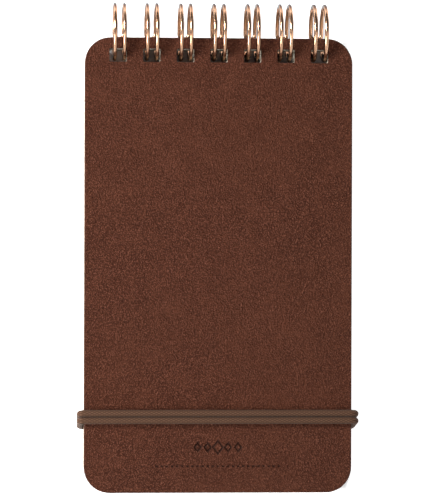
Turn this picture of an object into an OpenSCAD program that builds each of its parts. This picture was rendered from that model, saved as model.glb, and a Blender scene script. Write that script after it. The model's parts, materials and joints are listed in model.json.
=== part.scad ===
// Top-bound pocket notebook with a twin-loop wire and a doubled elastic closure.
// It lies on its back: front cover up (+Z), binding towards +Y, width along X.
// The origin is on the table, at the middle of the whole object's outline.

/* [Covers] */
// Width of both covers
cover_w = 67.5; // [56:0.5:100]
// Height of both covers, from the binding edge to the foot
cover_h = 114.5; // [70:0.5:180]
// Radius of the cover corners
cover_corner_r = 6.5; // [2:0.25:12]
// Thickness of the grained outer skin
skin_t = 0.5; // [0.3:0.05:1]
// Thickness of the grey board inside each cover
board_t = 0.75; // [0.4:0.05:2]
// Thickness of the paper that lines each cover
lining_t = 0.15; // [0.1:0.05:0.4]
// How far the lining stops short of the cover's edge
lining_inset = 0.4; // [0:0.1:2]
// Height of the back cover's underside above the table
back_gap = 3; // [2.2:0.1:4]

/* [Sheets] */
// Number of sheets in each of the three sections
sheets_per_section = 14; // [1:1:15]
// Thickness of one sheet
sheet_t = 0.1; // [0.06:0.01:0.16]
// Air between neighbouring sheets
sheet_gap = 0.015; // [0.005:0.005:0.05]
// How far the sheets stop short of the cover's sides
sheet_inset_side = 1; // [0.2:0.1:4]
// How far the sheets stop short of the cover's foot
sheet_inset_foot = 1.5; // [0.2:0.1:4]
// How far the sheets stop short of the binding edge
sheet_inset_top = 0.4; // [0.1:0.1:1]
// Radius of the sheet corners
sheet_corner_r = 5.5; // [1:0.25:12]

/* [Binding] */
// Number of double loops
loop_count = 7; // [3:1:8]
// Distance between neighbouring loops
loop_pitch = 8.467; // [7:0.001:10]
// Outside diameter of a loop
loop_d = 14.7; // [13.2:0.1:20]
// Distance between the two wires of a loop
loop_gap = 2.4; // [1.6:0.1:2.8]
// Diameter of the wire
wire_d = 1; // [0.6:0.05:1.2]
// Distance of the loops' axis beyond the covers' binding edge
loop_ahead = 1.6; // [1:0.1:3]
// Clearance beside a loop's wires in a punched hole
hole_side_clear = 0.475; // [0.3:0.025:0.9]
// Clearance before and behind the wires in a punched hole, where they lean most
hole_clear = 0.395; // [0.3:0.005:1]
// Radius of a punched hole's corners
hole_corner_r = 0.35; // [0.1:0.05:1]

/* [Elastic] */
// Diameter of each elastic cord
elastic_d = 1.75; // [1:0.05:2.1]
// Clearance of the cords from the covers and from each other
elastic_clear = 0.05; // [0.03:0.01:0.3]
// Distance of the pair's middle from the covers' foot on the front
elastic_from_foot = 19.2; // [10:0.1:40]
// How much nearer the foot the cords are on the back
elastic_back_drop = 2; // [0:0.1:6]
// Distance of the anchor holes from the cover's side
anchor_inset = 7; // [5:0.1:15]
// Clearance round the cords in the anchor hole
anchor_clear = 0.3; // [0.2:0.05:0.6]
// Width of an anchor plate, across the cover
anchor_w = 5; // [3:0.1:8]
// Length of an anchor plate, along the cover
anchor_l = 8; // [5:0.1:12]
// Thickness of an anchor plate
anchor_t = 0.6; // [0.3:0.05:0.7]

/* [Hidden] */
two_digits = function (i) str(i < 10 ? "0" : "", i);
sheet_total = 3 * sheets_per_section;
section_names = ["rear", "middle", "front"];
sheet_name = function (i)
    str(section_names[floor(i / sheets_per_section)], "_sheet_", two_digits(i % sheets_per_section + 1));

$fn = 48;
cut_past = 1; // how far a cut runs past both faces
pocket_clear = 0.1; // clearance round an anchor plate in its pocket
least_flat = 0.1; // shortest straight side left between two rounded corners
leather_colour = "#62403a";
board_colour = "#b9a88f";
paper_colour = "#efe8d8";
wire_colour = "#c08a5c";
elastic_colour = "#5c4436";
steel_colour = "#b8b8b4";

// heights, from the table up
cover_t = skin_t + board_t + lining_t;
back_skin_z = back_gap;
back_board_z = back_skin_z + skin_t;
back_lining_z = back_board_z + board_t;
first_sheet_z = back_gap + cover_t + sheet_gap;
sheet_pitch = sheet_t + sheet_gap;
front_lining_z = first_sheet_z + sheet_total * sheet_pitch;
front_board_z = front_lining_z + lining_t;
front_skin_z = front_board_z + board_t;
front_face_z = front_skin_z + skin_t;

// places along Y, with the whole outline centred on the origin
loop_r = (loop_d - wire_d) / 2;
total_l = cover_h + loop_ahead + loop_d / 2;
foot_y = -total_l / 2;
edge_y = foot_y + cover_h;
loop_y = edge_y + loop_ahead;
loop_z = loop_d / 2;

// the wire crosses the leaves between these two distances from its axis
lowest_leaf = loop_z - back_gap;
highest_leaf = front_face_z - loop_z;
nearest_cross = sqrt(pow(loop_r, 2) - pow(max(lowest_leaf, highest_leaf), 2));
hole_y = loop_y - (loop_r + nearest_cross) / 2;
hole_w = loop_gap + wire_d + 2 * hole_side_clear;
hole_h = loop_r - nearest_cross + wire_d + 2 * hole_clear;

loop_x = function (i) (i - (loop_count - 1) / 2) * loop_pitch;

// seam of the wire, below the back cover: angles round the loops' axis, 0 at +Y and 90 at +Z
tip_angle = -90;
tip_bend_r = loop_gap / 2;
root_bend_r = 0.8;
seam_clear = 0.25;
arc_per_mm = 180 / (PI * loop_r);
root_angle = tip_angle - (tip_bend_r + root_bend_r + wire_d + seam_clear) * arc_per_mm;
arc_sweep = 360 - (tip_angle - root_angle);

// ---- shapes shared by the covers and the sheets ----

module rounded_outline(w, low_y, high_y, r) {
    limited_r = min(r, (w - least_flat) / 2, (high_y - low_y - least_flat) / 2);
    translate([-w / 2 + limited_r, low_y]) square([w - 2 * limited_r, high_y - low_y]);
    translate([-w / 2, low_y + limited_r]) square([w, high_y - low_y - 2 * limited_r]);
    for (x = [-1, 1] * (w / 2 - limited_r), y = [low_y + limited_r, high_y - limited_r])
        translate([x, y]) circle(limited_r);
}

module hole_row() {
    for (i = [0 : loop_count - 1])
        translate([loop_x(i), 0]) rounded_outline(hole_w, hole_y - hole_h / 2, hole_y + hole_h / 2, hole_corner_r);
}

module leaf(z, thickness, inset_side = 0, inset_foot = 0, inset_top = 0, r = cover_corner_r) {
    translate([0, 0, z]) linear_extrude(thickness) difference() {
        rounded_outline(cover_w - 2 * inset_side, foot_y + inset_foot, edge_y - inset_top, r);
        hole_row();
    }
}

// ---- elastic ----

// middle of the pair on the front and on the back
elastic_front_y = foot_y + elastic_from_foot;
elastic_back_y = elastic_front_y - elastic_back_drop;
elastic_pitch = elastic_d + elastic_clear;
elastic_r = elastic_d / 2;
elastic_out_x = cover_w / 2 + elastic_clear + elastic_r;
elastic_top_z = front_face_z + elastic_clear + elastic_r;
elastic_low_z = back_gap - elastic_clear - elastic_r;
anchor_x = cover_w / 2 - anchor_inset;
edge_bend_r = elastic_r + 0.1;
elastic_sides = 12;
bend_steps = 5;
longest_bend = 0.45; // share of a straight stretch that a bend may use up

// a route's corners, rounded to the bend radius
function unit(v) = v / norm(v);
function rounded_corner(a, b, c, r) =
    let (
        to_a = unit(a - b),
        to_c = unit(c - b),
        half = acos(max(-1, min(1, to_a * to_c))) / 2,
        back = min(r / tan(half), longest_bend * norm(a - b), longest_bend * norm(c - b)),
        true_r = back * tan(half),
        middle = b + unit(to_a + to_c) * true_r / sin(half),
        from = b + to_a * back - middle,
        to = b + to_c * back - middle,
        turn = acos(max(-1, min(1, unit(from) * unit(to))))
    )
    [for (s = [0 : bend_steps])
        middle + (from * sin(turn * (1 - s / bend_steps)) + to * sin(turn * s / bend_steps)) / sin(turn)];

function rounded_route(points, r) = [
    points[0],
    for (i = [1 : len(points) - 2]) each rounded_corner(points[i - 1], points[i], points[i + 1], r),
    points[len(points) - 1]
];

// a tube's ring of points round place p, square to direction d; side is any direction off the tube's own
function tube_ring(p, d, side, r, sides) =
    let (u = unit(cross(d, side)), v = cross(u, d))
    [for (k = [0 : sides - 1]) p + r * (u * cos(360 * k / sides) + v * sin(360 * k / sides))];

// a closed tube along a route; side gives each point's sideways direction
module tube(route, side, r, sides) {
    last = len(route) - 1;
    rings = [for (i = [0 : last])
        each tube_ring(route[i], unit(route[min(i + 1, last)] - route[max(i - 1, 0)]), side[i], r, sides)];
    walls = [for (i = [0 : last - 1], k = [0 : sides - 1])
        let (a = i * sides + k, b = i * sides + (k + 1) % sides)
        [a, b, b + sides, a + sides]];
    caps = [[for (k = [sides - 1 : -1 : 0]) k], [for (k = [0 : sides - 1]) last * sides + k]];
    polyhedron(rings, concat(caps, walls), convexity = 10);
}

// half of a cord's route, from its anchor out to the middle of the front
function half_route(offset) = [
    [anchor_x, elastic_back_y + offset, back_board_z],
    [anchor_x, elastic_back_y + offset, elastic_low_z],
    [elastic_out_x, elastic_back_y + offset, elastic_low_z],
    [elastic_out_x, elastic_front_y + offset, elastic_top_z]
];

function mirrored(points) = [for (i = [len(points) - 1 : -1 : 0]) [-points[i][0], points[i][1], points[i][2]]];

module elastic_cord(offset) {
    half = half_route(offset);
    route = rounded_route(concat(half, mirrored(half)), edge_bend_r);
    tube(route, [for (p = route) [0, 1, 0]], elastic_r, elastic_sides);
}

module elastic_upper_cord() {
    color(elastic_colour) elastic_cord(elastic_pitch / 2);
}

module elastic_lower_cord() {
    color(elastic_colour) elastic_cord(-elastic_pitch / 2);
}

// slot for both cords in the back cover's skin
module anchor_slots() {
    slot_r = elastic_r + anchor_clear;
    for (x = [-anchor_x, anchor_x]) {
        translate([x - slot_r, elastic_back_y - elastic_pitch / 2]) square([2 * slot_r, elastic_pitch]);
        for (y = [-1, 1] * elastic_pitch / 2)
            translate([x, elastic_back_y + y]) circle(slot_r);
    }
}

module elastic_anchor(x) {
    translate([x - anchor_w / 2, elastic_back_y - anchor_l / 2, back_board_z]) cube([anchor_w, anchor_l, anchor_t]);
}

module elastic_anchor_left() {
    color(steel_colour) elastic_anchor(-anchor_x);
}

module elastic_anchor_right() {
    color(steel_colour) elastic_anchor(anchor_x);
}

// pockets for the anchor plates, right through the back board
module anchor_pockets() {
    for (x = [-anchor_x, anchor_x])
        translate([x - anchor_w / 2 - pocket_clear, elastic_back_y - anchor_l / 2 - pocket_clear])
            square([anchor_w + 2 * pocket_clear, anchor_l + 2 * pocket_clear]);
}

// ---- covers ----

module back_cover_skin() {
    color(leather_colour) difference() {
        leaf(back_skin_z, skin_t);
        translate([0, 0, back_skin_z - cut_past]) linear_extrude(skin_t + 2 * cut_past) anchor_slots();
    }
}

module back_cover_board() {
    color(board_colour) difference() {
        leaf(back_board_z, board_t);
        translate([0, 0, back_board_z - cut_past]) linear_extrude(board_t + 2 * cut_past) anchor_pockets();
    }
}

module back_cover_lining() {
    color(paper_colour) leaf(back_lining_z, lining_t, lining_inset, lining_inset, lining_inset);
}

module front_cover_skin() {
    color(leather_colour) leaf(front_skin_z, skin_t);
}

module front_cover_board() {
    color(board_colour) leaf(front_board_z, board_t);
}

module front_cover_lining() {
    color(paper_colour) leaf(front_lining_z, lining_t, lining_inset, lining_inset, lining_inset);
}

// ---- sheets, counted up from the back cover ----

module sheet(i) {
    color(paper_colour)
        leaf(first_sheet_z + i * sheet_pitch, sheet_t, sheet_inset_side, sheet_inset_foot, sheet_inset_top,
            sheet_corner_r);
}

// ---- binding wire: one wire bent to and fro, each prong curled into a double loop ----

wire_sides = 8;
arc_steps = 20;
tip_steps = 5;
root_steps = 3;

// outwards from the loops' axis at an angle, and along the loop with the angle falling
outwards = function (angle) [0, cos(angle), sin(angle)];
onwards = function (angle) [0, sin(angle), -cos(angle)];
on_loop = function (x, angle) [x, loop_y, loop_z] + loop_r * outwards(angle);

// each row of a wire route holds a place and the outward direction there
function side_rows(x, from, to) = [for (s = [0 : arc_steps])
    let (angle = from + (to - from) * s / arc_steps)
    [on_loop(x, angle), outwards(angle)]];

// the closed end that joins the two sides of a loop
function tip_rows(x) = [for (s = [1 : tip_steps - 1])
    let (turn = 180 * s / tip_steps)
    [
        on_loop(x, tip_angle) + tip_bend_r * (onwards(tip_angle) * sin(turn) - [cos(turn), 0, 0]),
        outwards(tip_angle)
    ]];

// a quarter bend between a root bar and a loop; way is 1 where the wire comes in from the left
function root_rows(x, way) = [for (s = [0 : root_steps - 1])
    let (turn = 90 * (way > 0 ? s : root_steps - 1 - s) / root_steps)
    [
        on_loop(x, root_angle) + root_bend_r * ([way * (sin(turn) - 1), 0, 0] - onwards(root_angle) * cos(turn)),
        outwards(root_angle)
    ]];

function loop_rows(i) =
    let (left = loop_x(i) - loop_gap / 2, right = loop_x(i) + loop_gap / 2)
    concat(
        i > 0 ? root_rows(left, 1) : [],
        side_rows(left, root_angle, root_angle - arc_sweep),
        tip_rows(loop_x(i)),
        side_rows(right, root_angle - arc_sweep, root_angle),
        i < loop_count - 1 ? root_rows(right, -1) : []
    );

module binding_wire() {
    rows = [for (i = [0 : loop_count - 1]) each loop_rows(i)];
    color(wire_colour) tube([for (row = rows) row[0]], [for (row = rows) row[1]], wire_d / 2, wire_sides);
}

back_cover_skin();
back_cover_board();
back_cover_lining();
front_cover_skin();
front_cover_board();
front_cover_lining();
binding_wire();
elastic_upper_cord();
elastic_lower_cord();
elastic_anchor_left();
elastic_anchor_right();
for (i = [0 : sheet_total - 1]) sheet(i);
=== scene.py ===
import json
import math
import random

import bmesh
import bpy
import numpy as np
from mathutils import Matrix, Vector


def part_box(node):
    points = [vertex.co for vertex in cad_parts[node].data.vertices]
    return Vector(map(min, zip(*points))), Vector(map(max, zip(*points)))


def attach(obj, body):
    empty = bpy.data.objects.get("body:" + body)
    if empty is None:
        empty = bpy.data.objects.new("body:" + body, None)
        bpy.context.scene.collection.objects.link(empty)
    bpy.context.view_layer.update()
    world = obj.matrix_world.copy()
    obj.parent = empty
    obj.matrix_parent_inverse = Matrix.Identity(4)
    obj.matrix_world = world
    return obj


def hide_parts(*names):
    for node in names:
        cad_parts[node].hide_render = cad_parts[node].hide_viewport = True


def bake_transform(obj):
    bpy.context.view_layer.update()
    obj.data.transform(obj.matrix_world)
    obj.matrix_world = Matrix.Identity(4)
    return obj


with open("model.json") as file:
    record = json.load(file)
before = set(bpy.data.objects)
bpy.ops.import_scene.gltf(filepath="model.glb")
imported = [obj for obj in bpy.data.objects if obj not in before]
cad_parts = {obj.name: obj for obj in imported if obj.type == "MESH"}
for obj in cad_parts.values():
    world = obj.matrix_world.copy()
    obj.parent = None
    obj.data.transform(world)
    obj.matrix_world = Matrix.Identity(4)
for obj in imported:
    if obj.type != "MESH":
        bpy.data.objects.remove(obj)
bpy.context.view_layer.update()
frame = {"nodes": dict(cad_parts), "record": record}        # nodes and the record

mm = 0.001               # pieces are modelled in millimetres, then brought to metres
nearly = 1e-3            # millimetres within which two places count as one
random.seed(7)


# the frame's sizes, in millimetres

def nodeBox(node):
    low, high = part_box(node)
    return low / mm, high / mm


skinLow, skinHigh = nodeBox("front_cover_skin")
backLow, backHigh = nodeBox("back_cover_skin")

binding = {
    "loops": 7,
    "pitch": 8.467,
    "loopDiameter": 14.7,
    "pairGap": 2.4,          # between the two wires of a loop
    "wire": 1.0,
    "ahead": 1.6,            # the loops' axis, beyond the covers' edge
    "holeClearSide": 0.475,
    "holeClear": 0.395,
    "holeCorner": 0.35,
    "holeCornerSteps": 3,
}
loopRadius = (binding["loopDiameter"] - binding["wire"]) / 2
loopY = skinHigh.y + binding["ahead"]
loopZ = binding["loopDiameter"] / 2
# the holes span every place where a loop passes through the stack
deepest = max(loopZ - backLow.z, skinHigh.z - loopZ)
nearestCross = math.sqrt(loopRadius ** 2 - deepest ** 2)
holeY = loopY - (loopRadius + nearestCross) / 2
holeWidth = binding["pairGap"] + binding["wire"] + 2 * binding["holeClearSide"]
holeHeight = loopRadius - nearestCross + binding["wire"] + 2 * binding["holeClear"]
loopXs = [(i - (binding["loops"] - 1) / 2) * binding["pitch"] for i in range(binding["loops"])]


# small helpers

def deselectAll():
    if bpy.context.object and bpy.context.object.mode != "OBJECT":
        bpy.ops.object.mode_set(mode="OBJECT")
    bpy.ops.object.select_all(action="DESELECT")


def pick(*pieces):
    deselectAll()
    for piece in pieces:
        piece.select_set(True)
    bpy.context.view_layer.objects.active = pieces[0]


def selectParts(piece, kind, test):
    # edit mode, with only the edges or faces that pass the test selected
    pick(piece)
    bpy.ops.object.mode_set(mode="EDIT")
    bpy.ops.mesh.select_mode(type=kind)
    bpy.ops.mesh.select_all(action="DESELECT")
    mesh = bmesh.from_edit_mesh(piece.data)
    for part in (mesh.edges if kind == "EDGE" else mesh.faces):
        if test(part):
            part.select_set(True)
    mesh.select_flush_mode()
    bmesh.update_edit_mesh(piece.data)


def selectAllIn(piece):
    # edit mode, with everything selected
    pick(piece)
    bpy.ops.object.mode_set(mode="EDIT")
    bpy.ops.mesh.select_all(action="SELECT")


def bevelEdges(piece, test, width, segments):
    selectParts(piece, "EDGE", test)
    bpy.ops.mesh.bevel(offset=width, segments=segments, profile=0.5, affect="EDGES", clamp_overlap=True)
    bpy.ops.object.mode_set(mode="OBJECT")


def applyModifier(piece, kind, **settings):
    pick(piece)
    modifier = piece.modifiers.new(kind.title(), kind)
    for key, value in settings.items():
        setattr(modifier, key, value)
    bpy.ops.object.modifier_apply(modifier=modifier.name)


def repeatAcross(piece, count, pitch):
    applyModifier(piece, "ARRAY", count=count, use_relative_offset=False, use_constant_offset=True,
                  constant_offset_displace=(pitch, 0, 0))


def addBox(name, low, high):
    deselectAll()
    bpy.ops.mesh.primitive_cube_add(size=1, location=(Vector(low) + Vector(high)) / 2)
    piece = bpy.context.object
    piece.name = name
    piece.scale = Vector(high) - Vector(low)
    bpy.ops.object.transform_apply(location=True, rotation=True, scale=True)
    return piece


def isUpright(edge):
    a, b = (v.co for v in edge.verts)
    return abs(a.x - b.x) < nearly and abs(a.y - b.y) < nearly


def isAtHeight(edge, height):
    return all(abs(v.co.z - height) < nearly for v in edge.verts)


def cutAway(piece, cutter):
    applyModifier(piece, "BOOLEAN", operation="DIFFERENCE", solver="EXACT", object=cutter)
    bpy.data.objects.remove(cutter)


def smooth(piece, degrees=40):
    # round over small angles, with large flat faces kept flat
    pick(piece)
    bpy.ops.object.shade_smooth_by_angle(angle=math.radians(degrees))
    applyModifier(piece, "WEIGHTED_NORMAL", keep_sharp=True, weight=100)


def toFrame(piece, body, slot, *nodes):
    # millimetres to metres, then onto its body
    piece.data.transform(Matrix.Scale(mm, 4))
    piece.data.name = piece.name
    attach(piece, body)
    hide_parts(*nodes)


def setMaterial(piece, material):
    piece.data.materials.clear()
    piece.data.materials.append(material)


# material helpers

def startMaterial(name):
    material = bpy.data.materials.new(name)
    material.use_nodes = True
    tree = material.node_tree
    shader = tree.nodes["Principled BSDF"]
    coords = tree.nodes.new("ShaderNodeTexCoord")
    return material, tree, shader, coords


def setInputs(tree, node, inputs):
    # each input gets a link or a fixed value
    for key, value in inputs.items():
        if isinstance(value, bpy.types.NodeSocket):
            tree.links.new(value, node.inputs[key])
        else:
            node.inputs[key].default_value = value


def addNode(tree, kind, inputs, **settings):
    node = tree.nodes.new(kind)
    for key, value in settings.items():
        setattr(node, key, value)
    setInputs(tree, node, inputs)
    return node


def noise(tree, where, scale, detail=3.0, roughness=0.55):
    inputs = {"Vector": where, "Scale": scale, "Detail": detail, "Roughness": roughness}
    return addNode(tree, "ShaderNodeTexNoise", inputs).outputs["Fac"]


def stretch(tree, where, scale, turn=0.0):
    # a pattern's place, scaled along each axis and turned about Z by some degrees
    inputs = {"Vector": where, "Rotation": (0, 0, math.radians(turn)), "Scale": scale}
    return addNode(tree, "ShaderNodeMapping", inputs).outputs[0]


def splitAxes(tree, vector):
    return addNode(tree, "ShaderNodeSeparateXYZ", {0: vector}).outputs


def mapRange(tree, value, fromLow, fromHigh, toLow=0.0, toHigh=1.0):
    inputs = {"Value": value, "From Min": fromLow, "From Max": fromHigh, "To Min": toLow, "To Max": toHigh}
    return addNode(tree, "ShaderNodeMapRange", inputs).outputs["Result"]


def mathNode(tree, operation, a, b=0.5):
    return addNode(tree, "ShaderNodeMath", {0: a, 1: b}, operation=operation).outputs[0]


def weightedSum(tree, a, shareA, b, shareB):
    first = mathNode(tree, "MULTIPLY", a, shareA)
    return mathNode(tree, "ADD", first, mathNode(tree, "MULTIPLY", b, shareB))


def ramp(tree, value, places, colours):
    node = addNode(tree, "ShaderNodeValToRGB", {"Fac": value})
    elements = node.color_ramp.elements
    while len(elements) < len(places):
        elements.new(1.0)
    for element, place, colour in zip(elements, places, colours):
        element.position = place
        element.color = (*colour, 1.0)
    return node.outputs["Color"]


def mixColour(tree, share, a, b):
    a, b = (side if isinstance(side, bpy.types.NodeSocket) else (*side, 1.0) for side in (a, b))
    return addNode(tree, "ShaderNodeMix", {0: share, 6: a, 7: b}, data_type="RGBA").outputs[2]


def bump(tree, height, strength, distance, after=None):
    inputs = {"Height": height, "Strength": strength, "Distance": distance}
    if after is not None:
        inputs["Normal"] = after
    return addNode(tree, "ShaderNodeBump", inputs).outputs["Normal"]


# grained leather of both covers

leatherLook = {
    "creaseShade": (0.046, 0.0124, 0.0058),     # painted shade in the creases, standing in for the grain's relief shading
    "body": (0.086, 0.0265, 0.0130),
    "grainTopHighlight": (0.178, 0.066, 0.040),       # painted highlight on the tops of the grain, standing in for their lit relief and glints
    "edge": (0.022, 0.008, 0.005),
    "stops": (0.16, 0.5, 0.9),           # heights of the painted crease shade, the body and the painted top highlight
    "edgeRange": (0.1, 0.62),            # how far a face looks up or down: all edge, no edge
    "edgeShare": 0.9,
    "grainScale": 2600,                  # grains per metre
    "grainDepth": 0.9 * mm,
    "grainSoftness": 0.5,
    "pebbleShare": 0.55,
    "fineScale": 1.7,                    # fine grain, as times the grain's own scale
    "fineShare": 0.75,
    "middleHeight": 0.7,
    "toneRange": (-0.17, 0.2),           # heights, from the creases to the tops
    "driftScale": 700,
    "drift": 0.0007,                     # metres
    "patchScale": 170,                   # patches of flatter grain
    "patchRange": (0.34, 0.54),
    "patchGrain": 0.7,                   # grain left in the flattest patches
    "swellStrength": 0.12,
    "swellDepth": 0.3 * mm,
    "cloudScale": 30,                    # broad areas of plainer colour
    "cloudRange": (0.35, 0.65),
    "cloudShare": 0.35,
    "roughness": (0.6, 0.4),             # in the creases, on the tops
    "shine": 0.1,
}


def makeLeather(name, look):
    material, tree, shader, coords = startMaterial(name)
    where = coords.outputs["Object"]
    # the grain wanders a little, so its cells aren't even
    drift = addNode(tree, "ShaderNodeTexNoise", {"Vector": where, "Scale": look["driftScale"], "Detail": 2.0})
    wander = addNode(tree, "ShaderNodeVectorMath", {0: drift.outputs["Color"], 1: (look["drift"],) * 3},
                     operation="MULTIPLY")
    moved = addNode(tree, "ShaderNodeVectorMath", {0: where, 1: wander.outputs[0]}, operation="ADD")
    there = moved.outputs[0]
    grain = {"Vector": there, "Scale": look["grainScale"], "Smoothness": look["grainSoftness"]}
    cells = addNode(tree, "ShaderNodeTexVoronoi", grain, feature="SMOOTH_F1")
    pebbles = mathNode(tree, "SUBTRACT", 1.0, cells.outputs["Distance"])
    fine = noise(tree, there, look["grainScale"] * look["fineScale"], 2.5, 0.6)
    patches = noise(tree, where, look["patchScale"])
    strength = mapRange(tree, patches, *look["patchRange"], look["patchGrain"], 1.0)
    height = weightedSum(tree, pebbles, look["pebbleShare"], fine, look["fineShare"])
    height = mathNode(tree, "MULTIPLY", mathNode(tree, "SUBTRACT", height, look["middleHeight"]), strength)
    # colour: painted shade in the creases and a painted highlight on the tops, standing in for the grain's
    # relief lighting
    tone = mapRange(tree, height, *look["toneRange"])
    colour = ramp(tree, tone, look["stops"], (look["creaseShade"], look["body"], look["grainTopHighlight"]))
    cloud = noise(tree, where, look["cloudScale"], 3.0, 0.5)
    cloud = mapRange(tree, cloud, *look["cloudRange"], 0.0, look["cloudShare"])
    colour = mixColour(tree, cloud, colour, look["body"])
    # faces that tilt away from up and down are darker: the covers' sides and rolled rim, the punched walls
    # and the mark's groove walls
    facing = mathNode(tree, "ABSOLUTE", splitAxes(tree, coords.outputs["Normal"])["Z"])
    edge = mapRange(tree, facing, *look["edgeRange"], look["edgeShare"], 0.0)
    colour = mixColour(tree, edge, colour, look["edge"])
    rough = mapRange(tree, tone, 0.0, 1.0, *look["roughness"])
    normal = bump(tree, height, 1.0, look["grainDepth"])
    swell = bump(tree, patches, look["swellStrength"], look["swellDepth"], normal)
    setInputs(tree, shader, {"Base Color": colour, "Roughness": rough, "Normal": swell,
                             "Specular IOR Level": look["shine"]})
    return material


leather = makeLeather("grainedLeather", leatherLook)
# a hot stamp darkens the grooves it presses and flattens their grain
pressedLook = dict(leatherLook, creaseShade=(0.020, 0.0060, 0.0030), body=(0.030, 0.0095, 0.0048),
                   grainTopHighlight=(0.046, 0.0160, 0.0090), grainDepth=0.2 * mm)
pressedLeather = makeLeather("pressedLeather", pressedLook)
print("leather ready")


# the covers' outer skins

coverShape = {
    "corner": 6.5,
    "cornerSteps": 14,
    "rimRoll": 0.34,         # rounding of the outer edge
    "rimSteps": 4,
    "holeRoll": 0.12,        # rounding of the punched edges
    "holeRollSteps": 3,
    "cutterExtra": 1,        # how far a cutter stands out of what it cuts
}
pressedMark = {
    "depth": 0.28,
    "roll": 0.26,
    "rollSteps": 2,
    "stroke": 0.66,
    "strokeRise": 1.25,      # the lozenges' stroke up and down, as times the stroke
    "lozenges": 5,
    "lozengePitch": 2.55,
    "lozengeHeight": 4.0,
    "lozengeWidth": 0.8,     # of its height
    "sideLozenges": 0.72,    # of the middle one's size
    "lozengeY": 11.5,        # above the cover's foot
    "dashes": 25,
    "dashPitch": 1.28,
    "dashWidth": 0.62,
    "dashHeight": 0.5,
    "dashY": 6.7,
    "reach": 20,             # half the width that is searched for grooves
    "margin": 1,             # the same, below the dashes
    "leastDeep": 0.01,       # a groove's face is at least this far down
    "leastUp": 0.1,          # and looks up at least this much
}


def flare(cutter, centre, size, faceZ, outwards):
    # widens a cutter's end in a quarter round, so that the hole it cuts has a rolled rim
    roll, steps = coverShape["holeRoll"], coverShape["holeRollSteps"]
    selectParts(cutter, "FACE", lambda face: face.normal.z * outwards > 0.9)
    done, rise = Vector((1.0, 1.0)), 0.0
    for k in range(1, steps + 1):
        turn = math.radians(90 * k / steps)
        up, out = roll * math.sin(turn), roll * (1 - math.cos(turn))
        wanted = Vector(((size.x + 2 * out) / size.x, (size.y + 2 * out) / size.y))
        bpy.ops.mesh.extrude_region_move(TRANSFORM_OT_translate={"value": (0, 0, outwards * (up - rise))})
        bpy.ops.transform.resize(value=(wanted.x / done.x, wanted.y / done.y, 1),
                                 center_override=(*centre, faceZ))
        done, rise = wanted, up
    beyond = (0, 0, outwards * coverShape["cutterExtra"])
    bpy.ops.mesh.extrude_region_move(TRANSFORM_OT_translate={"value": beyond})
    bpy.ops.object.mode_set(mode="OBJECT")


def cutterBox(name, centre, size, low, high, corner, cornerSteps, outwards):
    # an upright cutter through a plate, with one end flared where outwards isn't 0
    ends = [low.z - coverShape["cutterExtra"], high.z + coverShape["cutterExtra"]]
    faceZ = high.z if outwards > 0 else low.z
    if outwards:
        ends[1 if outwards > 0 else 0] = faceZ - outwards * coverShape["holeRoll"]
    cutter = addBox(name, (centre.x - size.x / 2, centre.y - size.y / 2, ends[0]),
                    (centre.x + size.x / 2, centre.y + size.y / 2, ends[1]))
    bevelEdges(cutter, isUpright, corner, cornerSteps)
    if outwards:
        flare(cutter, centre, size, faceZ, outwards)
    return cutter


def holeCutter(low, high, outwards=0):
    # one punched hole, repeated along the binding
    cutter = cutterBox("holeCutter", Vector((loopXs[0], holeY)), Vector((holeWidth, holeHeight)), low, high,
                       binding["holeCorner"], binding["holeCornerSteps"], outwards)
    repeatAcross(cutter, binding["loops"], binding["pitch"])
    return cutter


def lozenge(centre, halfWidth, halfHeight, low, high):
    # a flat diamond, used to cut
    deselectAll()
    bpy.ops.mesh.primitive_cylinder_add(vertices=4, radius=1, depth=high - low,
                                        location=(*centre, (low + high) / 2))
    cutter = bpy.context.object
    cutter.scale = (halfWidth, halfHeight, 1)
    bpy.ops.object.transform_apply(location=True, rotation=True, scale=True)
    return cutter


def pressIn(plate, cutter, low):
    # the cutter's lower edges are rounded, as a blunt stamp's are
    bevelEdges(cutter, lambda edge: isAtHeight(edge, low), pressedMark["roll"], pressedMark["rollSteps"])
    cutAway(plate, cutter)


def pressMark(plate, faceZ):
    # a plain pressed ornament near the foot: open lozenges over a row of fine dashes
    mark, extra = pressedMark, coverShape["cutterExtra"]
    low, high = faceZ - mark["depth"], faceZ + extra
    y = skinLow.y + mark["lozengeY"]
    for k in range(mark["lozenges"]):
        x = (k - (mark["lozenges"] - 1) / 2) * mark["lozengePitch"]
        isMiddle = k == (mark["lozenges"] - 1) // 2
        tall = mark["lozengeHeight"] / 2 * (1 if isMiddle else mark["sideLozenges"])
        wide = tall * mark["lozengeWidth"]
        ring = lozenge((x, y), wide, tall, low, high)
        cutAway(ring, lozenge((x, y), wide - mark["stroke"], tall - mark["stroke"] * mark["strokeRise"],
                              low - extra, high + extra))
        pressIn(plate, ring, low)
    dashY = skinLow.y + mark["dashY"]
    start = -(mark["dashes"] - 1) / 2 * mark["dashPitch"]
    dash = addBox("dash", (start - mark["dashWidth"] / 2, dashY - mark["dashHeight"] / 2, low),
                  (start + mark["dashWidth"] / 2, dashY + mark["dashHeight"] / 2, high))
    repeatAcross(dash, mark["dashes"], mark["dashPitch"])
    pressIn(plate, dash, low)


def darkenMark(skin, faceZ):
    # the stamp's grooves: below the face, looking up, and within the mark's rows
    mark = pressedMark
    skin.data.materials.append(pressedLeather)
    foot = skinLow.y + mark["dashY"] - mark["margin"]
    top = skinLow.y + mark["lozengeY"] + mark["lozengeHeight"]
    for face in skin.data.polygons:
        inMark = foot < face.center.y < top and abs(face.center.x) < mark["reach"]
        if inMark and face.normal.z > mark["leastUp"] and face.center.z < faceZ - mark["leastDeep"]:
            face.material_index = 1


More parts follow.
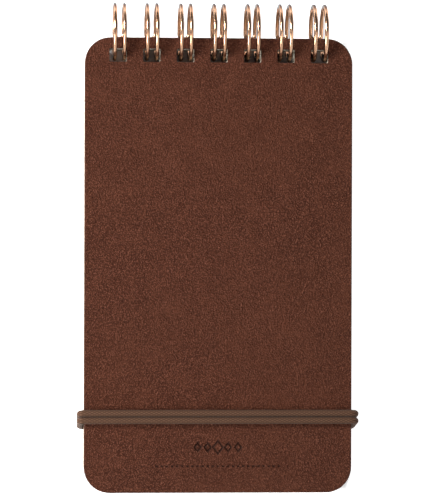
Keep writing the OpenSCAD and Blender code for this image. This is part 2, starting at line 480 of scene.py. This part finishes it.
def makeSkin(name, node, body, outwards, cutters=()):
    # its outer rim is rolled first, then the holes are punched
    low, high = nodeBox(node)
    faceZ = high.z if outwards > 0 else low.z
    skin = addBox(name, low, high)
    bevelEdges(skin, isUpright, coverShape["corner"], coverShape["cornerSteps"])
    bevelEdges(skin, lambda edge: isAtHeight(edge, faceZ), coverShape["rimRoll"], coverShape["rimSteps"])
    cutAway(skin, holeCutter(low, high, outwards))
    for cutter in cutters:
        cutAway(skin, cutter)
    if outwards > 0:
        pressMark(skin, faceZ)
    smooth(skin)
    setMaterial(skin, leather)
    if outwards > 0:
        darkenMark(skin, faceZ)
    toFrame(skin, body, "cover_skin", node)
    return skin


# the elastic's route, from the frame

upperLow, upperHigh = nodeBox("elastic_upper_cord")
lowerLow, lowerHigh = nodeBox("elastic_lower_cord")
elastic = {
    "diameter": 1.75,
    "anchorInset": 7.0,      # anchor slots, in from the cover's side
    "anchorClear": 0.3,
    "slotRound": 0.98,       # of a full round end
    "slotSteps": 6,
    "bend": 0.975,           # radius of the bends round the cover's edges
    "bendReach": 0.45,       # the most of a straight stretch that a bend takes
    "bendSteps": 12,
    "sides": 32,
    "step": 0.12,            # distance between rings
    "strands": 8,            # strands of the braid each way round
    "strandPitch": 0.62,
    "relief": 0.055,
    "ridgePower": 0.6,
    "dipPower": 0.7,
    "dipShares": (0.45, 0.55),   # of a strand's height: all along it, and away from its crossings
}
elasticRadius = elastic["diameter"] / 2
anchorX = skinHigh.x - elastic["anchorInset"]
elasticBackYs = [low.y + elasticRadius for low in (upperLow, lowerLow)]
elasticFrontYs = [high.y - elasticRadius for high in (upperHigh, lowerHigh)]


def anchorSlotCutter(side):
    # a slot with round ends, for both cords
    r = elasticRadius + elastic["anchorClear"]
    lowY, highY = min(elasticBackYs) - r, max(elasticBackYs) + r
    centre = Vector((side * anchorX, (lowY + highY) / 2))
    return cutterBox("slotCutter", centre, Vector((2 * r, highY - lowY)), backLow, backHigh,
                     r * elastic["slotRound"], elastic["slotSteps"], -1)


frontLeather = makeSkin("front_cover_leather", "front_cover_skin", "front_cover", 1)
slotCutters = [anchorSlotCutter(-1), anchorSlotCutter(1)]
backLeather = makeSkin("back_cover_leather", "back_cover_skin", "back_cover", -1, slotCutters)
print("covers ready", len(frontLeather.data.polygons), len(backLeather.data.polygons))


# braided elastic

elasticLook = {
    "yarn": (0.064, 0.030, 0.0165),
    # the next colour is a painted highlight on the strands' crowns, the one after it painted shade between
    # the strands
    "yarnHighlight": (0.118, 0.066, 0.041),
    "gapShade": (0.020, 0.009, 0.005),
    "stops": (0.22, 0.5, 0.95),          # tones of the painted shade between strands, of the yarn, and of the painted highlight on the strands' crowns
    "weaveShare": 0.55,
    "fibreShare": 0.6,
    "fibreScale": 9.0,
    "fibreStretch": (1.0, 5.5, 1.0),
    "threadScale": 1.6,
    "threadStretch": (3.0, 60.0, 1.0),
    "threadTurn": 40,                    # degrees
    "threadHeight": 0.7,
    "fibreHeight": 0.5,
    "reliefStrength": 0.6,
    "reliefDepth": 0.06 * mm,
    "roughness": 0.82,
    "sheen": 0.08,
    "sheenRoughness": 0.4,
    "shine": 0.12,
}


def strandRise(tree, place):
    # 0 at a strand's edges, 1 on its middle
    return mathNode(tree, "ABSOLUTE", mathNode(tree, "SINE", mathNode(tree, "MULTIPLY", place, math.pi)))


def makeKnitted():
    look = elasticLook
    material, tree, shader, coords = startMaterial("braidedYarn")
    uv = coords.outputs["UV"]
    fibres = noise(tree, stretch(tree, uv, look["fibreStretch"]), look["fibreScale"], 5.0, 0.7)
    threadPlace = stretch(tree, uv, look["threadStretch"], look["threadTurn"])
    threads = noise(tree, threadPlace, look["threadScale"], 3.0, 0.6)
    # the same two families of strands as the mesh
    axes = splitAxes(tree, uv)
    lean = mathNode(tree, "MULTIPLY", axes["X"], 0.5 / elastic["strandPitch"])
    around = mathNode(tree, "MULTIPLY", axes["Y"], elastic["strands"])
    oneWay = strandRise(tree, mathNode(tree, "ADD", around, lean))
    otherWay = strandRise(tree, mathNode(tree, "SUBTRACT", around, lean))
    weave = mathNode(tree, "MULTIPLY", oneWay, otherWay)
    # painted shade between the strands and a painted highlight on their crowns, blended with the fibres' own
    # tone
    tone = weightedSum(tree, weave, look["weaveShare"], fibres, look["fibreShare"])
    colour = ramp(tree, tone, look["stops"], (look["gapShade"], look["yarn"], look["yarnHighlight"]))
    height = weightedSum(tree, threads, look["threadHeight"], fibres, look["fibreHeight"])
    normal = bump(tree, height, look["reliefStrength"], look["reliefDepth"])
    setInputs(tree, shader, {"Base Color": colour, "Normal": normal, "Roughness": look["roughness"],
                             "Sheen Weight": look["sheen"], "Sheen Roughness": look["sheenRoughness"],
                             "Specular IOR Level": look["shine"]})
    return material


def cordRoute(backY, frontY, low, high):
    # up through the back cover's slot, round its side and over the front, then the same mirrored
    outX, lowZ, topZ = high.x - elasticRadius, low.z + elasticRadius, high.z - elasticRadius
    half = [Vector((anchorX, backY, backHigh.z)), Vector((anchorX, backY, lowZ)),
            Vector((outX, backY, lowZ)), Vector((outX, frontY, topZ))]
    return half + [Vector((-p.x, p.y, p.z)) for p in reversed(half)]


def roundedRoute(corners, radius, step):
    # straight stretches joined by arcs, then points a step apart
    points = [corners[0]]
    for before, corner, after in zip(corners, corners[1:], corners[2:]):
        toBefore, toAfter = (before - corner), (after - corner)
        reach = min(toBefore.length, toAfter.length) * elastic["bendReach"]
        toBefore, toAfter = toBefore.normalized(), toAfter.normalized()
        half = toBefore.angle(toAfter) / 2
        back = min(radius / math.tan(half), reach)
        arcRadius = back * math.tan(half)
        middle = corner + (toBefore + toAfter).normalized() * arcRadius / math.sin(half)
        start, end = corner + toBefore * back - middle, corner + toAfter * back - middle
        turn = start.angle(end)
        for k in range(elastic["bendSteps"] + 1):
            t = k / elastic["bendSteps"]
            blend = start * math.sin(turn * (1 - t)) + end * math.sin(turn * t)
            points.append(middle + blend / math.sin(turn))
    points.append(corners[-1])
    lengths = np.cumsum([0] + [(b - a).length for a, b in zip(points, points[1:])])
    count = int(lengths[-1] / step)
    along = np.linspace(0, lengths[-1], count + 1)
    table = np.array([list(p) for p in points])
    even = np.stack([np.interp(along, lengths, table[:, k]) for k in range(3)], axis=1)
    return even, along


def braidHeight(along, share):
    # two families of strands that pass over and under each other
    a = elastic["strands"] * share + along / elastic["strandPitch"] / 2
    b = elastic["strands"] * share - along / elastic["strandPitch"] / 2
    fa, fb = a - np.floor(a), b - np.floor(b)
    over = (np.floor(a) + np.floor(b)) % 2
    ridge = np.where(over > 0.5, np.sin(np.pi * fa), np.sin(np.pi * fb))
    dip = np.where(over > 0.5, np.sin(np.pi * fb), np.sin(np.pi * fa))
    throughout, between = elastic["dipShares"]
    return ridge ** elastic["ridgePower"] * (throughout + between * dip ** elastic["dipPower"])


def cordRings(centres, along):
    # a ring of points round each centre, with the braid's relief
    ahead = np.gradient(centres, axis=0)
    ahead /= np.linalg.norm(ahead, axis=1, keepdims=True)
    across = np.cross(ahead, np.array([0.0, 1.0, 0.0]))
    across /= np.linalg.norm(across, axis=1, keepdims=True)
    up = np.cross(across, ahead)
    share = np.arange(elastic["sides"]) / elastic["sides"]
    angle = share * 2 * np.pi
    relief = braidHeight(along[:, None], share[None, :])
    radius = elasticRadius - elastic["relief"] * (1 - relief)
    return centres[:, None, :] + radius[:, :, None] * (
        across[:, None, :] * np.cos(angle)[None, :, None] + up[:, None, :] * np.sin(angle)[None, :, None])


def makeCord(name, node, backY, frontY, low, high):
    centres, along = roundedRoute(cordRoute(backY, frontY, low, high), elastic["bend"], elastic["step"])
    sides, count = elastic["sides"], len(centres)
    rings = cordRings(centres, along)
    verts = np.concatenate([rings.reshape(-1, 3), centres[:1], centres[-1:]]) * mm
    # the map runs in millimetres along the cord, and from 0 to 1 round it
    faces, uvs = [], []
    for i in range(count - 1):
        for k in range(sides):
            n = (k + 1) % sides
            faces.append((i * sides + k, (i + 1) * sides + k, (i + 1) * sides + n, i * sides + n))
            u0, u1, v0, v1 = along[i], along[i + 1], k / sides, (k + 1) / sides
            uvs += [(u0, v0), (u1, v0), (u1, v1), (u0, v1)]
    # both ends are closed with a fan
    first, last = count * sides, count * sides + 1
    for k in range(sides):
        n = (k + 1) % sides
        faces.append((first, k, n))
        faces.append((last, (count - 1) * sides + n, (count - 1) * sides + k))
        uvs += [(0, 0)] * 6
    mesh = bpy.data.meshes.new(name)
    mesh.from_pydata(verts.tolist(), [], faces)
    layer = mesh.uv_layers.new(name="cordUv")
    layer.data.foreach_set("uv", np.array(uvs, np.float32).ravel())
    mesh.update()
    cord = bpy.data.objects.new(name, mesh)
    bpy.context.scene.collection.objects.link(cord)
    selectAllIn(cord)
    bpy.ops.mesh.normals_make_consistent(inside=False)
    bpy.ops.object.mode_set(mode="OBJECT")
    bpy.ops.object.shade_smooth()
    setMaterial(cord, knitted)
    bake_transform(cord)
    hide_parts(node)


knitted = makeKnitted()
makeCord("elastic_upper", "elastic_upper_cord", elasticBackYs[0], elasticFrontYs[0], upperLow, upperHigh)
makeCord("elastic_lower", "elastic_lower_cord", elasticBackYs[1], elasticFrontYs[1], lowerLow, lowerHigh)
print("elastic ready")


# binding wire: loops and the links between them, spun from a round section

wireShape = {
    "sides": 16,
    "arcSteps": 60,
    "tipSteps": 14,
    "linkSteps": 6,
    "tipAngle": -90,
    "linkBend": 0.8,
    "seam": 0.25,            # gap between the loops' tips and the links
    "weld": 0.005,
    # sideways shift of each loop's left and right wire
    "lean": ((0.42, 0.40), (0.05, 0.1), (0.1, 0.15), (0.0, 0.1), (0.05, 0.1), (-0.25, -0.2), (-0.12, 0.3)),
}
degreesPerMm = 180 / (math.pi * loopRadius)
rootReach = binding["pairGap"] / 2 + wireShape["linkBend"] + binding["wire"] + wireShape["seam"]
rootAngle = wireShape["tipAngle"] - rootReach * degreesPerMm
arcSweep = 360 - (wireShape["tipAngle"] - rootAngle)


def fromAxis(angle):
    return Vector((0, math.cos(math.radians(angle)), math.sin(math.radians(angle))))


def onLoop(x, angle):
    return Vector((x, loopY, loopZ)) + fromAxis(angle) * loopRadius


def startSection(name, place, turn):
    deselectAll()
    bpy.ops.mesh.primitive_circle_add(vertices=wireShape["sides"], radius=binding["wire"] / 2, location=place,
                                      rotation=(math.radians(turn), 0, 0))
    section = bpy.context.object
    section.name = name
    bpy.ops.object.transform_apply(location=True, rotation=True, scale=True)
    selectAllIn(section)
    return section


def spinOn(centre, axis, degrees, steps):
    # without a window a positive spin turns against the right-hand rule
    bpy.ops.mesh.spin(steps=steps, angle=-math.radians(degrees), center=centre, axis=axis)


def makeHairpin(x):
    tip = wireShape["tipAngle"]
    half = binding["pairGap"] / 2
    hairpin = startSection("hairpin", onLoop(x - half, rootAngle), rootAngle + 180)
    spinOn((x, loopY, loopZ), (-1, 0, 0), arcSweep, wireShape["arcSteps"])
    spinOn(onLoop(x, tip), -fromAxis(tip), 180, wireShape["tipSteps"])
    spinOn((x, loopY, loopZ), (1, 0, 0), arcSweep, wireShape["arcSteps"])
    bpy.ops.object.mode_set(mode="OBJECT")
    return hairpin


def makeLink(x):
    # from the right side of the loop at x to the left side of the next one
    bend, half = wireShape["linkBend"], binding["pairGap"] / 2
    start = onLoop(x + half, rootAngle)
    link = startSection("link", start, rootAngle + 180)
    spinOn(start + Vector((bend, 0, 0)), fromAxis(rootAngle), 90, wireShape["linkSteps"])
    straight = binding["pitch"] - binding["pairGap"] - 2 * bend
    bpy.ops.mesh.extrude_region_move(TRANSFORM_OT_translate={"value": (straight, 0, 0)})
    end = onLoop(x + binding["pitch"] - half, rootAngle)
    spinOn(end - Vector((bend, 0, 0)), fromAxis(rootAngle), 90, wireShape["linkSteps"])
    bpy.ops.object.mode_set(mode="OBJECT")
    return link


def makeWire():
    hairpin, link = makeHairpin(loopXs[0]), makeLink(loopXs[0])
    repeatAcross(hairpin, binding["loops"], binding["pitch"])
    repeatAcross(link, binding["loops"] - 1, binding["pitch"])
    pick(hairpin, link)
    bpy.ops.object.join()
    wire = bpy.context.object
    wire.name = "binding_wire_comb"
    selectAllIn(wire)
    bpy.ops.mesh.remove_doubles(threshold=wireShape["weld"])
    # the wire's two cut ends
    bpy.ops.mesh.select_mode(type="EDGE")
    bpy.ops.mesh.select_all(action="DESELECT")
    bpy.ops.mesh.select_non_manifold(extend=False, use_wire=False, use_multi_face=False,
                                     use_non_contiguous=False, use_verts=False)
    bpy.ops.mesh.fill_holes(sides=0)
    bpy.ops.mesh.select_all(action="SELECT")
    bpy.ops.mesh.normals_make_consistent(inside=False)
    bpy.ops.object.mode_set(mode="OBJECT")
    bpy.ops.object.shade_smooth()
    return wire


def leanLoops(wire):
    # a hand-closed comb never stands quite even
    places, shifts = [], []
    for x, (left, right) in zip(loopXs, wireShape["lean"]):
        places += [x - binding["pairGap"] / 2, x + binding["pairGap"] / 2]
        shifts += [left, right]
    for vertex in wire.data.vertices:
        vertex.co.x += float(np.interp(vertex.co.x, places, shifts))


wireLook = {
    "metal": (0.60, 0.33, 0.20),
    "bright": (0.74, 0.46, 0.30),
    "wireEdgeShade": (0.11, 0.048, 0.025),        # painted shade for the flanks and the outer bends
    "grazing": (0.46, 0.57, 0.64, 1),    # the tint of the plating's reflection when seen edge-on
    "cloudScale": 240,
    "cloudStops": (0.3, 0.7),
    "flankRange": (0.4, 0.92),           # how far a place looks sideways: no painted shade, most
    "flankShade": 0.92,
    "outerRange": (0.62, 0.82),          # the same, away from the covers
    "speckScale": 2600,
    "speckRange": (0.35, 0.7),
    "roughness": (0.2, 0.27),
    "drawnStretch": (9000, 350, 350),
    "drawnStrength": 0.02,
    "drawnDepth": 0.01 * mm,
}


def makeCopper():
    look = wireLook
    material, tree, shader, coords = startMaterial("copperWire")
    where = coords.outputs["Object"]
    # fine drawing marks run round the loops, so they stretch across the binding
    marks = noise(tree, stretch(tree, where, look["drawnStretch"]), 1.0, 3.0, 0.6)
    cloud = noise(tree, where, look["cloudScale"], 3.0, 0.5)
    specks = noise(tree, where, look["speckScale"], 2.0, 0.5)
    colour = ramp(tree, cloud, look["cloudStops"], (look["metal"], look["bright"]))
    # painted shade on the flanks and the outer bends, standing in for the dark reflections along the wire's
    # edges
    facing = splitAxes(tree, coords.outputs["Normal"])
    sideways = mathNode(tree, "ABSOLUTE", facing["X"])
    flank = mapRange(tree, sideways, *look["flankRange"], 0.0, look["flankShade"])
    outer = mapRange(tree, facing["Y"], *look["outerRange"])
    colour = mixColour(tree, mathNode(tree, "MAXIMUM", flank, outer), colour, look["wireEdgeShade"])
    rough = mapRange(tree, specks, *look["speckRange"], *look["roughness"])
    normal = bump(tree, marks, look["drawnStrength"], look["drawnDepth"])
    setInputs(tree, shader, {"Base Color": colour, "Roughness": rough, "Normal": normal, "Metallic": 1.0,
                             "Specular Tint": look["grazing"]})
    return material


copper = makeCopper()
wire = makeWire()
leanLoops(wire)
setMaterial(wire, copper)
toFrame(wire, "back_cover", "binding_wire", "binding_wire")
print("wire ready", len(wire.data.polygons))


# sheets: one punched sheet, copied with small shifts as a cut and bound stack has

sheetShape = {
    "corner": 5.5,
    "cornerSteps": 8,
    "shiftX": 0.13,
    "shiftY": 0.11,
    "turn": 0.10,            # degrees
}
paperLook = {
    "paper": (0.68, 0.635, 0.545),
    "shade": (0.60, 0.55, 0.46),
    "cutEdge": (0.60, 0.50, 0.375),
    "line": (0.36, 0.30, 0.27),
    "lineStrength": 0.55,
    "lineEvery": 6.0 * mm,
    "lineWidth": 0.16 * mm,
    "lineInset": 5 * mm,     # from the sheet's sides
    "fromTop": 16.0 * mm,    # to the first line
    "flat": 0.9,             # faces that look up or down more than this aren't the cut edge
    "cloudScale": 90,
    "cloudShare": 0.5,
    "fibreScale": 900,
    "fibreStretch": (1, 2.4, 1),
    "fibreShare": 0.18,
    "fibreStrength": 0.25,
    "fibreDepth": 0.02 * mm,
    "roughness": 0.9,
    "shine": 0.2,
}


def makePaper():
    look = paperLook
    sheetLow, sheetHigh = nodeBox("middle_sheet_01")
    top = sheetHigh.y * mm - look["fromTop"]
    side = sheetHigh.x * mm - look["lineInset"]
    material, tree, shader, coords = startMaterial("writingPaper")
    where = coords.outputs["Object"]
    fibre = noise(tree, stretch(tree, where, look["fibreStretch"]), look["fibreScale"], 5.0, 0.65)
    cloud = noise(tree, where, look["cloudScale"])
    cloudy = mathNode(tree, "MULTIPLY", cloud, look["cloudShare"])
    fibrous = mathNode(tree, "MULTIPLY", fibre, look["fibreShare"])
    colour = mixColour(tree, cloudy, look["paper"], look["shade"])
    colour = mixColour(tree, fibrous, colour, look["shade"])
    # ruled lines, on the flat faces only
    place = splitAxes(tree, where)
    below = mathNode(tree, "SUBTRACT", top, place["Y"])
    rows = mathNode(tree, "FRACT", mathNode(tree, "DIVIDE", below, look["lineEvery"]))
    inked = mathNode(tree, "LESS_THAN", rows, look["lineWidth"] / look["lineEvery"])
    inked = mathNode(tree, "MULTIPLY", inked, mathNode(tree, "GREATER_THAN", below, 0.0))
    within = mathNode(tree, "LESS_THAN", mathNode(tree, "ABSOLUTE", place["X"]), side)
    inked = mathNode(tree, "MULTIPLY", inked, within)
    upright = mathNode(tree, "ABSOLUTE", splitAxes(tree, coords.outputs["Normal"])["Z"])
    flat = mathNode(tree, "GREATER_THAN", upright, look["flat"])
    colour = mixColour(tree, mathNode(tree, "SUBTRACT", 1.0, flat), colour, look["cutEdge"])
    inked = mathNode(tree, "MULTIPLY", mathNode(tree, "MULTIPLY", inked, flat), look["lineStrength"])
    colour = mixColour(tree, inked, colour, look["line"])
    normal = bump(tree, fibre, look["fibreStrength"], look["fibreDepth"])
    setInputs(tree, shader, {"Base Color": colour, "Normal": normal, "Roughness": look["roughness"],
                             "Specular IOR Level": look["shine"]})
    return material


def makeSheets():
    bodies = frame["record"]["behaviour"]["bodies"]
    stack = [(body, node) for body in ("rear_sheets", "middle_sheets", "front_sheets")
             for node in bodies[body]]
    patternLow, patternHigh = nodeBox(stack[0][1])
    pattern = addBox("sheetPattern", patternLow, patternHigh)
    bevelEdges(pattern, isUpright, sheetShape["corner"], sheetShape["cornerSteps"])
    cutAway(pattern, holeCutter(patternLow, patternHigh))
    setMaterial(pattern, makePaper())
    hinge = Vector((0, holeY, 0))
    for body, node in stack:
        low, high = nodeBox(node)
        sheet = bpy.data.objects.new(node.replace("sheet", "page"), pattern.data.copy())
        bpy.context.scene.collection.objects.link(sheet)
        turn = Matrix.Rotation(math.radians(random.uniform(-1, 1) * sheetShape["turn"]), 4, "Z")
        shiftX = random.uniform(-1, 1) * sheetShape["shiftX"]
        shiftY = random.uniform(-1, 1) * sheetShape["shiftY"]
        shift = Vector((shiftX, shiftY, low.z - patternLow.z))
        sheet.data.transform(Matrix.Translation(hinge + shift) @ turn @ Matrix.Translation(-hinge))
        toFrame(sheet, body, "sheet", node)
    bpy.data.objects.remove(pattern)


makeSheets()
print("sheets ready")


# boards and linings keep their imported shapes

boardLook = {
    "fibre": (0.46, 0.375, 0.27),
    "dark": (0.27, 0.21, 0.15),
    "stops": (0.3, 0.6),
    "layerScale": 900,
    "layerStretch": (1, 1, 9),
    "speckScale": 3000,
    "speckShare": 0.3,
    "strength": 0.5,
    "depth": 0.05 * mm,
    "roughness": 0.92,
}
liningLook = {
    "paper": (0.115, 0.055, 0.038),
    "light": (0.17, 0.09, 0.065),
    "laidScale": 700,
    "laidStretch": (1, 6, 1),
    "cloudScale": 120,
    "cloudShare": 0.4,
    "strength": 0.3,
    "depth": 0.03 * mm,
    "roughness": 0.8,
    "shine": 0.25,
}


def makeBoard():
    look = boardLook
    material, tree, shader, coords = startMaterial("pressedBoard")
    where = coords.outputs["Object"]
    layers = noise(tree, stretch(tree, where, look["layerStretch"]), look["layerScale"], 5.0, 0.7)
    specks = noise(tree, where, look["speckScale"], 2.0)
    colour = ramp(tree, layers, look["stops"], (look["dark"], look["fibre"]))
    colour = mixColour(tree, mathNode(tree, "MULTIPLY", specks, look["speckShare"]), colour, look["dark"])
    normal = bump(tree, layers, look["strength"], look["depth"])
    setInputs(tree, shader, {"Base Color": colour, "Normal": normal, "Roughness": look["roughness"]})
    return material


def makeLining():
    look = liningLook
    material, tree, shader, coords = startMaterial("endPaper")
    where = coords.outputs["Object"]
    laid = noise(tree, stretch(tree, where, look["laidStretch"]), look["laidScale"], 4.0, 0.6)
    cloud = noise(tree, where, look["cloudScale"])
    colour = mixColour(tree, laid, look["paper"], look["light"])
    colour = mixColour(tree, mathNode(tree, "MULTIPLY", cloud, look["cloudShare"]), colour, look["paper"])
    normal = bump(tree, laid, look["strength"], look["depth"])
    setInputs(tree, shader, {"Base Color": colour, "Normal": normal, "Roughness": look["roughness"],
                             "Specular IOR Level": look["shine"]})
    return material


board, lining = makeBoard(), makeLining()
for side in ("front", "back"):
    setMaterial(frame["nodes"][side + "_cover_board"], board)
    setMaterial(frame["nodes"][side + "_cover_lining"], lining)


# pressed plates that hold the elastic's ends

plateShape = {
    "corner": 0.8,
    "cornerSteps": 5,
    "edge": 0.08,
    "edgeSteps": 2,
    "edgeAngle": 1.2,        # radians, the least that is rounded
    "rib": 0.9,
    "field": 0.15,           # width of the step down to the pressed field, and its depth
}
plateLook = {
    "dark": (0.42, 0.42, 0.41),
    "light": (0.62, 0.62, 0.6),
    "stops": (0.3, 0.7),
    "brushStretch": (400, 9000, 400),
    "strength": 0.15,
    "depth": 0.02 * mm,
    "roughness": (0.28, 0.45),
}


def makePlateSteel():
    look = plateLook
    material, tree, shader, coords = startMaterial("pressedSteel")
    brushed = noise(tree, stretch(tree, coords.outputs["Object"], look["brushStretch"]), 1.0)
    colour = ramp(tree, brushed, look["stops"], (look["dark"], look["light"]))
    rough = mapRange(tree, brushed, 0.0, 1.0, *look["roughness"])
    normal = bump(tree, brushed, look["strength"], look["depth"])
    setInputs(tree, shader, {"Base Color": colour, "Roughness": rough, "Normal": normal, "Metallic": 1.0})
    return material


def makeAnchor(side, steel):
    node = "elastic_anchor_" + side
    low, high = nodeBox(node)
    plate = addBox("elastic_anchor_plate_" + side, low, high)
    bevelEdges(plate, isUpright, plateShape["corner"], plateShape["cornerSteps"])
    # a shallow pressed field on the upper face
    selectParts(plate, "FACE", lambda face: face.normal.z > 0.9)
    bpy.ops.mesh.inset(thickness=plateShape["rib"], depth=0)
    bpy.ops.mesh.inset(thickness=plateShape["field"], depth=-plateShape["field"])
    bpy.ops.object.mode_set(mode="OBJECT")
    bevelEdges(plate, lambda e: len(e.link_faces) == 2 and e.calc_face_angle(0) > plateShape["edgeAngle"],
               plateShape["edge"], plateShape["edgeSteps"])
    smooth(plate)
    setMaterial(plate, steel)
    toFrame(plate, "back_cover", "anchor_plate", node)


plateSteel = makePlateSteel()
makeAnchor("left", plateSteel)
makeAnchor("right", plateSteel)
print("anchor plates ready")


# floor, light and camera

studio = {
    "floorSize": 4.0,
    "floorColour": (0.96, 0.96, 0.96, 1),
    "key": {"place": (-0.34, 0.24, 0.36), "size": 0.20, "power": 4.15},
    "fill": {"place": (0.42, -0.05, 0.42), "size": 0.30, "power": 0.6},
    "side": {"place": (-0.24, -0.10, 0.20), "size": 0.20, "power": 1.25},
    "glow": 0.8,             # painted light: the floor glows away from the object, washing out its cast shadow there
    "glowStart": -0.3 * mm,  # distance from the covers where it starts
    "glowFull": 1.2 * mm,
    "world": 0.9,
    "worldAlong": (-0.7, 0.3),   # brightest at the foot's side, dim behind the binding
    "worldBehind": 0.08,
    "worldUp": (0.5, 1.0),       # brightest low down, dim overhead
    "worldOverhead": 0.35,
}


def makeStage():
    deselectAll()
    bpy.ops.mesh.primitive_plane_add(size=studio["floorSize"], location=(0, 0, 0))
    floor = bpy.context.object
    floor.name = "studioFloor"
    material, tree, shader, coords = startMaterial("paleFloor")
    place = splitAxes(tree, coords.outputs["Object"])
    beside = mathNode(tree, "SUBTRACT", mathNode(tree, "ABSOLUTE", place["X"]), skinHigh.x * mm)
    # the covers aren't centred along Y, so each end is measured from its own edge
    above = mathNode(tree, "SUBTRACT", place["Y"], skinHigh.y * mm)
    below = mathNode(tree, "SUBTRACT", skinLow.y * mm, place["Y"])
    away = mathNode(tree, "MAXIMUM", beside, mathNode(tree, "MAXIMUM", above, below))
    # painted light: none beneath the covers, full a little beyond them, so the object's cast shadow is washed
    # out
    glow = mapRange(tree, away, studio["glowStart"], studio["glowFull"], 0.0, studio["glow"])
    setInputs(tree, shader, {"Base Color": studio["floorColour"], "Roughness": 0.9, "Specular IOR Level": 0.1,
                             "Emission Color": (1, 1, 1, 1), "Emission Strength": glow})
    setMaterial(floor, material)


def addLamp(name, place, size, power, aim=(0, 0, 0.01)):
    data = bpy.data.lights.new(name, "AREA")
    data.shape, data.size, data.energy = "DISK", size, power
    lamp = bpy.data.objects.new(name, data)
    lamp.location = place
    lamp.rotation_euler = (Vector(aim) - Vector(place)).to_track_quat("-Z", "Y").to_euler()
    bpy.context.scene.collection.objects.link(lamp)


def makeWorld():
    world = bpy.data.worlds.new("softStudio")
    bpy.context.scene.world = world
    world.use_nodes = True
    tree = world.node_tree
    coords = tree.nodes.new("ShaderNodeTexCoord")
    place = splitAxes(tree, coords.outputs["Generated"])
    along = mapRange(tree, place["Y"], *studio["worldAlong"], 1.0, studio["worldBehind"])
    overhead = mapRange(tree, place["Z"], *studio["worldUp"], 1.0, studio["worldOverhead"])
    glow = mathNode(tree, "MULTIPLY", along, overhead)
    colour = ramp(tree, glow, (0.0, 1.0), ((0.0, 0.0, 0.0), (1.0, 1.0, 1.0)))
    setInputs(tree, tree.nodes["Background"], {"Color": colour, "Strength": studio["world"]})


view = {
    "distance": 0.66,
    "sideways": -0.043,      # the eye is a little left of the object's middle
    "aim": (-0.00028, -0.0001, skinHigh.z * mm),
    "perPixel": 0.2516 * mm,
    "framePixels": 495,      # the frame's longer side
    "roll": 0.003,           # radians
    "sensor": 36.0,
    "clip": (0.01, 10),
}


def makeCamera():
    data = bpy.data.cameras.new("mainCamera")
    camera = bpy.data.objects.new("mainCamera", data)
    aim = Vector(view["aim"])
    camera.location = aim + Vector((view["sideways"], 0, view["distance"]))
    look = aim - camera.location
    camera.rotation_euler = (0, math.atan2(view["sideways"], view["distance"]), view["roll"])
    halfFrame = view["perPixel"] * view["framePixels"] / 2
    data.sensor_width = view["sensor"]
    data.lens = view["sensor"] / 2 * look.length / halfFrame
    data.clip_start, data.clip_end = view["clip"]
    bpy.context.scene.collection.objects.link(camera)
    bpy.context.scene.camera = camera


makeStage()
for name in ("key", "fill", "side"):
    addLamp(name + "Lamp", **studio[name])
makeWorld()
makeCamera()
bpy.context.scene.view_settings.view_transform = "Standard"
deselectAll()
